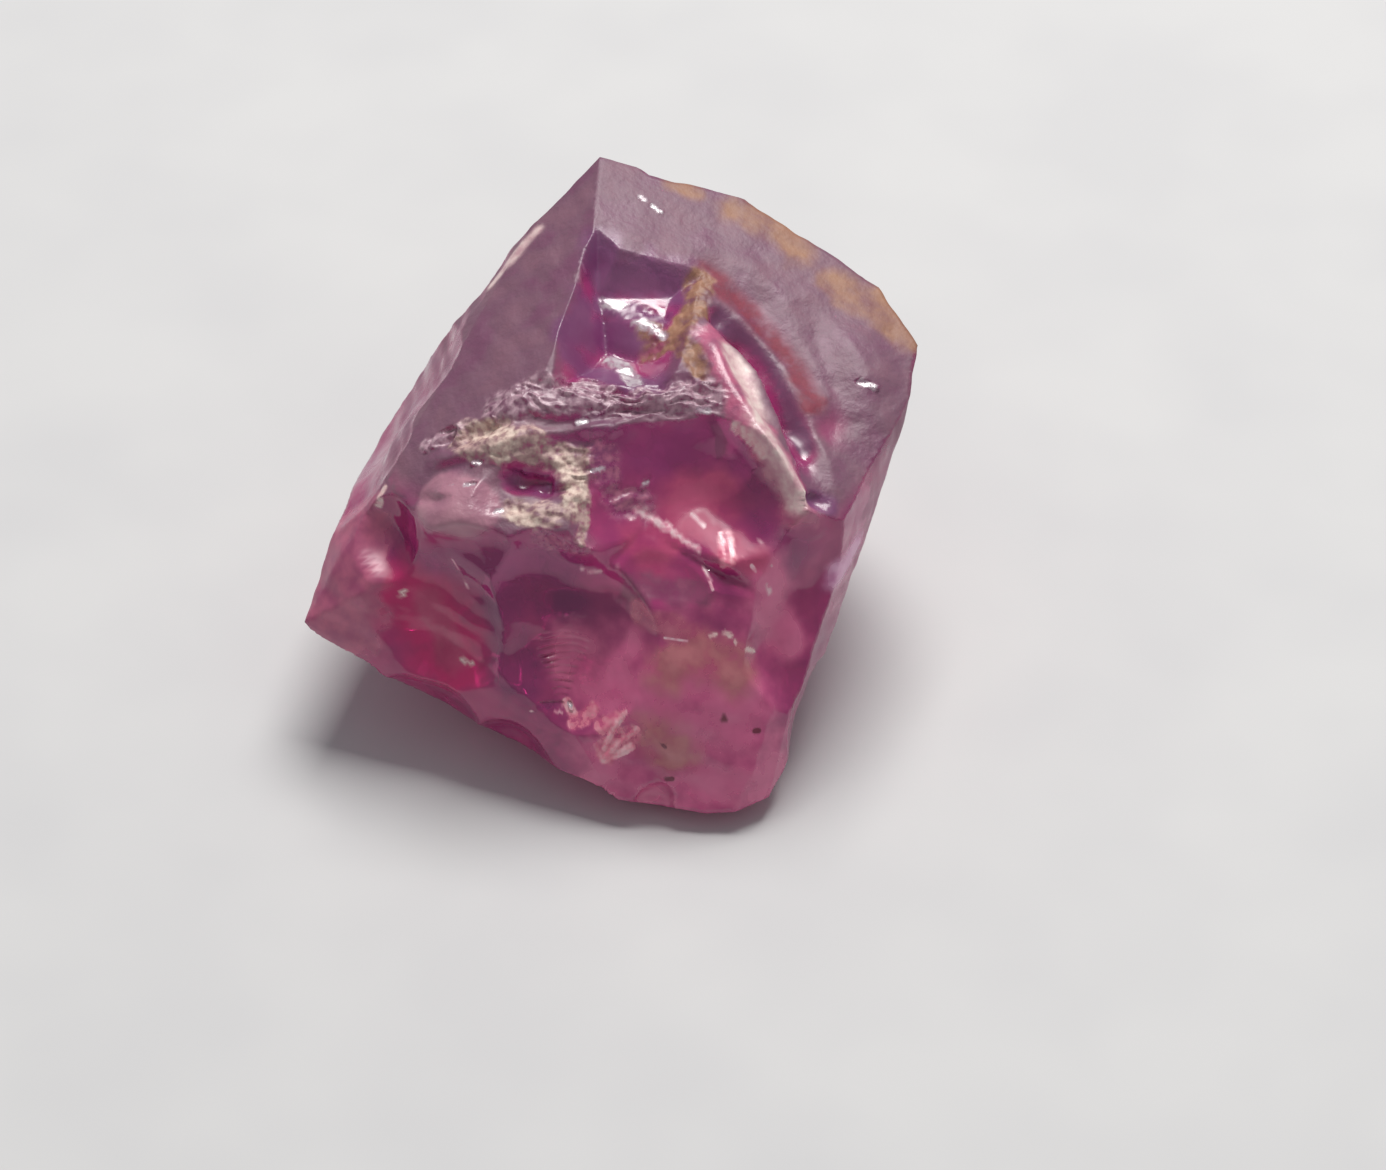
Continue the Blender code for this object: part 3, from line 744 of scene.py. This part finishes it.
def on_skin(tree, pixel):
    """Return the point of the crystal that a pixel of the photograph shows."""
    place = camera_axes()[0]
    hit = tree.ray_cast(Vector(place), Vector(photo_ray(pixel)))[0]
    if hit is None:
        hit = tree.find_nearest(Vector(place + photo_ray(pixel) * CAMERA_DISTANCE))[0]
    return np.array(hit)


def placed_patches():
    """Return each patch as a route over the skin and its half width."""
    tree = coarse_tree()
    return {name: ([on_skin(tree, pixel) for pixel in route], width)
            for name, (route, width) in PATCHES.items()}


def edge_limits(patches):
    """Return a function that gives the longest edge wanted at each point."""
    forward = camera_axes()[3]

    def limits(points):
        outward = points - HEART
        facing = -outward @ forward / np.linalg.norm(outward, axis=1)
        limit = np.where(facing > SEEN_FACING, EDGE_SEEN, EDGE_HIDDEN)
        zones = ((FINE, EDGE_FINE, FINE_MARGIN), (FINEST, EDGE_FINEST, FINEST_MARGIN))
        for names, edge, margin in zones:
            for name, (route, width) in patches.items():
                if name.startswith(names):
                    limit = np.where(distance_to(points, route) < width + margin, edge, limit)
        return limit

    return limits


def cover(points, patches, prefix, kind="relief"):
    """Return how far each point is inside the patches of a name, 0 to 1, with a kind of edge."""
    ragged, size, soft = EDGES[kind]
    result = np.zeros(len(points))
    for name, (route, width) in patches.items():
        if name.startswith(prefix):
            gap = distance_to(points, route) / width
            near = np.flatnonzero(gap < EDGE_REACH + soft)
            if len(near):
                edge = gap[near] + ragged * fractal(points[near], size)
                result[near] = np.maximum(result[near], smooth_step(0.5 + (1.0 - edge) / soft))
    return result


def raise_relief(skin, amount, height, relief):
    """Raise the skin by a height times a relief, a function of the points, where it is covered."""
    near = np.flatnonzero(amount > LEAST_COVER)
    if len(near):
        skin.reach[near] += height * amount[near] * relief(skin.points()[near])


def even(points):
    """Return a relief that is the same everywhere."""
    return np.ones(len(points))


def creases(points):
    """Return the relief of sharp, wavy, nearly level wrinkles."""
    bend = fractal(points, CREASE_BEND_SIZE, 2)[:, None] * np.array(CREASE_BEND)
    gap = CREASE_SHARPNESS * np.abs(fractal(points + bend, CREASE_SIZE))
    least, spread = CREASE_FADE
    return (CREASE_LEVEL - np.minimum(gap, 1.0)) * (least + spread * fractal(points, CREASE_FADE_SIZE, 2))


def add_lumps(skin, patches, name):
    """Pile the lumps or small facets of one name of patch."""
    height, level, size = LUMPS[name]
    raise_relief(skin, cover(skin.points(), patches, name), height,
                 lambda points: level - cells(points, size))


def add_tongue(skin, patches):
    """Give the smooth tongue beside the crust its rounded rim."""
    raise_relief(skin, cover(skin.points(), patches, "tongue", "round"), TONGUE_HEIGHT, even)


def add_wrinkles(skin, patches):
    """Raise the wrinkles of the broken band and of the places beside it."""
    for name, height in CREASE_HEIGHTS.items():
        raise_relief(skin, cover(skin.points(), patches, name), height, creases)


def add_crust(skin, patches):
    """Pile the lumpy crust, open the dark pit in it, and grain the stain beside it."""
    add_lumps(skin, patches, "crust")
    add_lumps(skin, patches, "core")
    raise_relief(skin, cover(skin.points(), patches, "dusk_pit"), -PIT_DEPTH, even)
    add_lumps(skin, patches, "ochre_st")


def add_ripples(skin, patches):
    """Press the stacked arcs that spread from where the middle scoop was struck."""
    struck, far = patches["ripple_arcs"][0]
    offset = skin.points() - struck
    gap = np.linalg.norm(offset, axis=1)
    lean = (offset @ unit(far - struck)) / np.maximum(gap, TINY)
    window = ramp(lean, RIPPLE_FAN, RIPPLE_FAN_FADE) * ramp(gap, RIPPLE_START, RIPPLE_START_FADE)
    window *= smooth_step((RIPPLE_END - gap) / RIPPLE_END_FADE)
    near = np.flatnonzero(window > LEAST_COVER)
    drift = fractal(skin.points()[near], RIPPLE_DRIFT_SIZE, 2)
    wave = np.sin((gap[near] + RIPPLE_DRIFT * RIPPLE_STEP * drift) * 2.0 * math.pi / RIPPLE_STEP)
    skin.reach[near] += RIPPLE_HEIGHT * window[near] * (RIPPLE_EVENNESS + drift) * wave


def add_flakes(skin, patches):
    """Raise the thin straight flakes beside the cracks, press the slit, and break the low flake."""
    for name, height in FLAKE_HEIGHTS.items():
        route, width = patches[name]
        skin.reach += height * np.clip(1.0 - distance_to(skin.points(), route) / width, 0.0, 1.0)
    add_lumps(skin, patches, "bloom")


def add_glints(skin, patches):
    """Flatten the places that flash, and break them into small facets."""
    for name, (route, _) in patches.items():
        if name.startswith("glint"):
            amount = cover(skin.points(), patches, name, "flash")
            near = np.flatnonzero(amount > LEAST_COVER)
            level = skin.plane_reach(np.mean(route, axis=0), GLINT_FACING)
            change = np.clip(level[near] - skin.reach[near], -GLINT_LIMIT, GLINT_LIMIT)
            skin.reach[near] += GLINT_FLATNESS * amount[near] * change
    add_lumps(skin, patches, "glint")


def add_skin_relief(skin, patches):
    """Give the growth faces their etched waves and the fractures their faint shells."""
    raise_relief(skin, cover(skin.points(), patches, "lobe"), LOBE_WAVE_HEIGHT,
                 lambda points: fractal(points, LOBE_WAVE_SIZE, 2))
    points = skin.points()
    climb = points @ np.array(SHELL_RISE) + SHELL_SWAY * fractal(points, SHELL_SWAY_SIZE, 2)
    skin.reach += SHELL_HEIGHT * np.sin(climb * 2.0 * math.pi / SHELL_STEP)


def crystal_piece(patches):
    """Return the fine crystal as an object, in metres, with its masks as attributes."""
    form = outer_form()
    limits = edge_limits(patches)
    for _ in range(REFINE_ROUNDS):
        split_long(form, limits)
    skin = Skin([vertex.co for vertex in form.verts])
    carve(skin)
    cut = skin.whole - skin.reach
    for add in (add_tongue, add_wrinkles, add_crust, add_ripples, add_flakes, add_glints, add_skin_relief):
        add(skin, patches)
    # Nothing that was raised may reach under the floor
    skin.notch([((0, 0, 0), (0, 0, -1))])

    points = skin.points()
    for vertex, point in zip(form.verts, points):
        vertex.co = point * MM
    bmesh.ops.recalc_face_normals(form, faces=form.faces)
    mesh = bpy.data.meshes.new("crystal")
    form.to_mesh(mesh)
    form.free()
    mesh.shade_smooth()
    normals = np.empty(len(points) * 3)
    mesh.vertex_normals.foreach_get("vector", normals)
    for name, values in masks(points, normals.reshape(-1, 3), cut, patches).items():
        layer = mesh.attributes.new(name, "FLOAT", "POINT")
        layer.data.foreach_set("value", np.clip(values, 0.0, 1.0).astype(np.float32))
    piece = bpy.data.objects.new("crystal", mesh)
    bpy.context.scene.collection.objects.link(piece)
    return piece


def frost(points, normals, cut, patches):
    """Return where the skin is frosted: on the growth faces, off the cuts."""
    high = ramp(points[:, 2], *FROST_HIGH)
    upward = ramp(normals[:, 2], *FROST_UPWARD)
    leftward = ramp(-normals[:, 0], *FROST_LEFTWARD) * ramp(points[:, 2], *FROST_LEFT_HIGH)
    behind = ramp(normals[:, 1], *FROST_BEHIND)
    grown = 1.0 - FROST_LOST * ramp(cut, *FROST_CUT)
    sides = np.maximum(FROST_LEFT * leftward * upward, FROST_BACK * behind)
    return np.maximum(np.maximum(upward * high, sides) * grown,
                      FROST_LOBE * cover(points, patches, "lobe", "wide"))


def masks(points, normals, cut, patches):
    """Return where each layer of the finish lies, and where the surface is matt."""
    found = {}
    for name, kind, *_ in LAYERS:
        if name == "frost":
            found[name] = frost(points, normals, cut, patches)
        else:
            found[name] = cover(points, patches, name, kind)
    found["matt"] = np.maximum.reduce([found[name] for name in MATT])
    return found


class Finish:
    """A small helper that adds nodes to a material and links them."""

    def __init__(self, name):
        self.material = bpy.data.materials.new(name)
        self.material.use_nodes = True
        self.tree = self.material.node_tree
        self.surface = self.tree.nodes["Principled BSDF"]

    def node(self, kind, **settings):
        """Add a node and set its properties."""
        made = self.tree.nodes.new(kind)
        for key, value in settings.items():
            setattr(made, key, value)
        return made

    def feed(self, socket, value):
        """Link an output to a socket, or set the socket's plain value."""
        if isinstance(value, bpy.types.NodeSocket):
            self.tree.links.new(value, socket)
        else:
            socket.default_value = value

    def mask(self, name):
        """Return a mask of the mesh."""
        return self.node("ShaderNodeAttribute", attribute_name=name).outputs["Fac"]

    def math(self, operation, first, second=0.0, clamp=False):
        """Return the result of one calculation."""
        made = self.node("ShaderNodeMath", operation=operation, use_clamp=clamp)
        self.feed(made.inputs[0], first)
        self.feed(made.inputs[1], second)
        return made.outputs[0]

    def mix(self, amount, first, second, kind="RGBA"):
        """Return a colour between two colours, or a number between two where the kind is FLOAT."""
        made = self.node("ShaderNodeMix", data_type=kind)
        self.feed(made.inputs["Factor"], amount)
        self.feed(made.inputs["A"], first)
        self.feed(made.inputs["B"], second)
        return made.outputs["Result"]

    def noise(self, place, size, detail):
        """Return noise with features of the given size in millimetres, stretched to 0..1."""
        made = self.node("ShaderNodeTexNoise")
        self.feed(made.inputs["Vector"], place)
        self.feed(made.inputs["Scale"], 1.0 / (size * MM))
        self.feed(made.inputs["Detail"], detail)
        spread = self.node("ShaderNodeMapRange")
        self.feed(spread.inputs["Value"], made.outputs["Fac"])
        self.feed(spread.inputs["From Min"], NOISE_RANGE[0])
        self.feed(spread.inputs["From Max"], NOISE_RANGE[1])
        return spread.outputs["Result"]


def colour(shade):
    """Return a linear colour with full alpha from a shade on a 0 to 255 screen scale."""
    return tuple((value / 255.0) ** SCREEN_GAMMA for value in shade) + (1.0,)


def grain(finish, place):
    """Give the surface a fine grain, faint on the glassy body and stronger on the matt layers."""
    share = finish.math("ADD", GRAIN_GLASSY, finish.math("MULTIPLY", finish.mask("matt"), GRAIN_MATT))
    bump = finish.node("ShaderNodeBump")
    height = finish.math("MULTIPLY", finish.noise(place, GRAIN_SIZE, FINE_DETAIL), share)
    finish.feed(bump.inputs["Height"], height)
    finish.feed(bump.inputs["Strength"], GRAIN_STRENGTH)
    finish.feed(bump.inputs["Distance"], GRAIN_HEIGHT * MM)
    finish.feed(finish.surface.inputs["Normal"], bump.outputs["Normal"])


def spinel_finish():
    """Return clear spinel under its layers: frost, crust, stains, glows and flakes."""
    finish = Finish("spinel")
    place = finish.node("ShaderNodeTexCoord").outputs["Object"]
    waves = {name: finish.noise(place, size, FINE_DETAIL) for name, size in WAVES.items()}
    light, dark, clear, rough = BODY
    tint = finish.mix(waves["broad"], colour(dark), colour(light))
    for name, _, size, breakup, light, dark, layer_clear, layer_rough in LAYERS:
        wave = waves[size]
        amount = finish.math("ADD", 1.0 - breakup, finish.math("MULTIPLY", wave, 2.0 * breakup))
        amount = finish.math("MULTIPLY", finish.mask(name), amount, True)
        tint = finish.mix(amount, tint, finish.mix(wave, colour(dark), colour(light)))
        clear = finish.mix(amount, clear, layer_clear, "FLOAT")
        rough = finish.mix(amount, rough, layer_rough, "FLOAT")
    finish.feed(finish.surface.inputs["Base Color"], tint)
    finish.feed(finish.surface.inputs["Transmission Weight"], clear)
    finish.feed(finish.surface.inputs["Roughness"], rough)
    grain(finish, place)

    finish.surface.inputs["IOR"].default_value = SPINEL_IOR
    body = finish.node("ShaderNodeVolumeAbsorption")
    body.inputs["Color"].default_value = BODY_COLOUR
    body.inputs["Density"].default_value = BODY_DENSITY
    finish.feed(finish.tree.nodes["Material Output"].inputs["Volume"], body.outputs["Volume"])
    return finish.material


def floor_finish():
    """Return a plain pale matt floor with a very faint mottle."""
    finish = Finish("pale_floor")
    place = finish.node("ShaderNodeTexCoord").outputs["Object"]
    shade = finish.mix(finish.noise(place, FLOOR_MOTTLE, PLAIN_DETAIL), *FLOOR_SHADES)
    finish.feed(finish.surface.inputs["Base Color"], shade)
    finish.feed(finish.surface.inputs["Roughness"], FLOOR_ROUGHNESS)
    return finish.material


def make_floor():
    """Lay the floor that the crystal rests on."""
    bpy.ops.mesh.primitive_plane_add(size=FLOOR_SIZE)
    floor = bpy.context.object
    floor.name = "floor"
    floor.data.materials.append(floor_finish())


def make_camera():
    """Place the camera at the photograph's viewing angle."""
    place, _, _, forward = camera_axes()
    data = bpy.data.cameras.new("camera")
    data.sensor_width = SENSOR
    data.lens = FOCAL_PIXELS / PHOTO[0] * SENSOR
    data.clip_start, data.clip_end = CAMERA_CLIP
    camera = bpy.data.objects.new("camera", data)
    bpy.context.scene.collection.objects.link(camera)
    camera.location = place * MM
    camera.rotation_euler = Vector(forward).to_track_quat("-Z", "Y").to_euler()
    bpy.context.scene.camera = camera


def make_light():
    """Light the crystal softly from behind and above, in a pale surround; azimuth 0 is behind it."""
    data = bpy.data.lights.new("key", "AREA")
    data.size = KEY_SIZE
    data.energy = KEY_POWER
    data.color = KEY_TONE
    turn = math.radians(KEY_AZIMUTH)
    rise = math.radians(KEY_ELEVATION)
    way = Vector((math.sin(turn) * math.cos(rise), math.cos(turn) * math.cos(rise), math.sin(rise)))
    lamp = bpy.data.objects.new("key", data)
    bpy.context.scene.collection.objects.link(lamp)
    lamp.location = way * KEY_DISTANCE
    lamp.rotation_euler = (-way).to_track_quat("-Z", "Y").to_euler()

    world = bpy.data.worlds.new("surround")
    world.use_nodes = True
    background = world.node_tree.nodes["Background"]
    background.inputs["Color"].default_value = SURROUND
    background.inputs["Strength"].default_value = SURROUND_STRENGTH
    bpy.context.scene.world = world
    bpy.context.scene.view_settings.view_transform = "Standard"


def main():
    """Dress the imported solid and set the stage."""
    make_camera()
    piece = crystal_piece(placed_patches())
    piece.data.materials.append(spinel_finish())
    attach(piece, "root")
    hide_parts("spinel_crystal")
    make_floor()
    make_light()


main()
